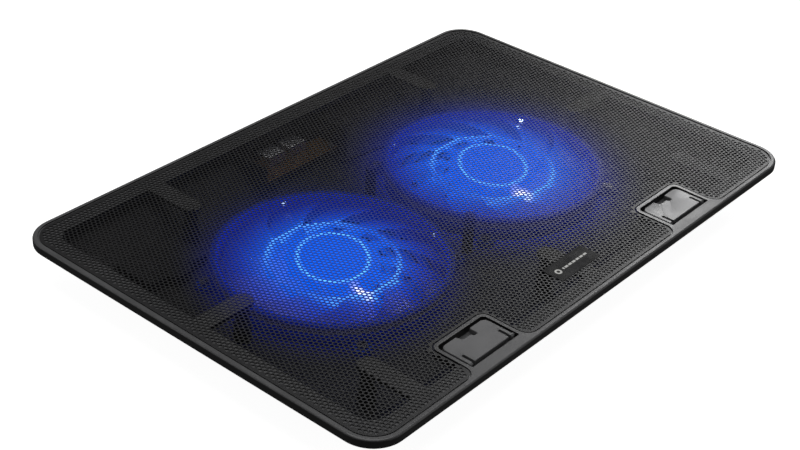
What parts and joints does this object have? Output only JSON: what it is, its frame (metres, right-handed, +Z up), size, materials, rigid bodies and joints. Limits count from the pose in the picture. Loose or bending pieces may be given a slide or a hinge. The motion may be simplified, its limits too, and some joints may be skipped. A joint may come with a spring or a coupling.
{
  "type": "laptop cooling pad",
  "caption": "Flat notebook cooling stand: perforated metal sheet over lit blower fans in a thin black frame, with fold-up stop flaps and fold-out rear feet.",
  "frame": {"origin": "middle of the footprint, on the surface that the rubber pads stand on", "axes": "+X to the right along the long side, +Y to the back, away from the user, +Z up"},
  "size_m": [0.36, 0.242, 0.028],
  "materials": {
    "black_abs": "fine matte moulded texture",
    "satin_abs": "satin moulded plastic",
    "black_steel": "black powder coat",
    "gloss_plate": "gloss black",
    "clear_blue": "clear blue tinted plastic",
    "led_lens": "clear epoxy",
    "rubber": "matte",
    "steel": "plated",
    "silicon_steel": "laminated",
    "magnet": "bonded ferrite",
    "bronze": "oil bronze",
    "copper": "enamelled wire",
    "pcb": "solder mask",
    "flex": "white flexible board",
    "pvc": "wire insulation",
    "tongue": "moulded"
  },
  "bodies": {
    "base": {"base_shell": "black_abs", "board_screws": "steel", "case_screws": "steel", "fan_bearing_left": "bronze", "fan_bearing_right": "bronze", "fan_board_left": "pcb", "fan_board_right": "pcb", "fan_lead_left": "pvc", "fan_lead_right": "pvc", "fan_leds_left": "led_lens", "fan_leds_right": "led_lens", "fan_ring_left": "clear_blue", "fan_ring_right": "clear_blue", "fan_screws_left": "steel", "fan_screws_right": "steel", "fan_stator_left": "silicon_steel", "fan_stator_right": "silicon_steel", "fan_windings_left": "copper", "fan_windings_right": "copper", "foot_pin_left": "steel", "foot_pin_right": "steel", "led_strip_left": "flex", "led_strip_right": "flex", "mesh_panel": "black_steel", "motor_mount_left": "black_abs", "motor_mount_right": "black_abs", "mount_screws_left": "steel", "mount_screws_right": "steel", "nameplate": "gloss_plate", "port_housing": "black_abs", "rubber_pad_front_left": "rubber", "rubber_pad_front_right": "rubber", "rubber_pad_rear_left": "rubber", "rubber_pad_rear_right": "rubber", "switch_body": "black_abs", "top_frame": "black_abs", "usb_board": "pcb", "usb_socket_left": "steel", "usb_socket_right": "steel", "usb_tongue_left": "tongue", "usb_tongue_right": "tongue"},
    "rotor_left": {"fan_rotor_left": "clear_blue", "fan_magnet_left": "magnet", "fan_shaft_left": "steel"},
    "rotor_right": {"fan_rotor_right": "clear_blue", "fan_magnet_right": "magnet", "fan_shaft_right": "steel"},
    "flap_left": {"flap_left": "satin_abs"},
    "flap_right": {"flap_right": "satin_abs"},
    "foot_left": {"rear_foot_left": "black_abs", "foot_tip_left": "rubber"},
    "foot_right": {"rear_foot_right": "black_abs", "foot_tip_right": "rubber"},
    "switch_knob": {"switch_knob": "black_abs"}
  },
  "joints": [
    {"name": "fan_spin_left", "type": "hinge", "parent": "base", "child": "rotor_left", "pos_m": [-0.068, 0.006, 0.012], "axis": [0, 0, 1], "continuous": true},
    {"name": "flap_tilt_left", "type": "hinge", "parent": "base", "child": "flap_left", "pos_m": [-0.0862, -0.1104, 0.0262], "axis": [1, 0, 0], "range_deg": [0, 90]},
    {"name": "foot_fold_left", "type": "hinge", "parent": "base", "child": "foot_left", "pos_m": [-0.127, 0.0808, 0.005], "axis": [1, 0, 0], "range_deg": [0, 95]},
    {"name": "fan_spin_right", "type": "hinge", "parent": "base", "child": "rotor_right", "pos_m": [0.068, 0.006, 0.012], "axis": [0, 0, 1], "continuous": true},
    {"name": "flap_tilt_right", "type": "hinge", "parent": "base", "child": "flap_right", "pos_m": [0.0862, -0.1104, 0.0262], "axis": [1, 0, 0], "range_deg": [0, 90]},
    {"name": "foot_fold_right", "type": "hinge", "parent": "base", "child": "foot_right", "pos_m": [0.127, 0.0808, 0.005], "axis": [1, 0, 0], "range_deg": [0, 95]},
    {"name": "switch_slide", "type": "slide", "parent": "base", "child": "switch_knob", "axis": [1, 0, 0], "range_m": [0, 0.003]}
  ]
}
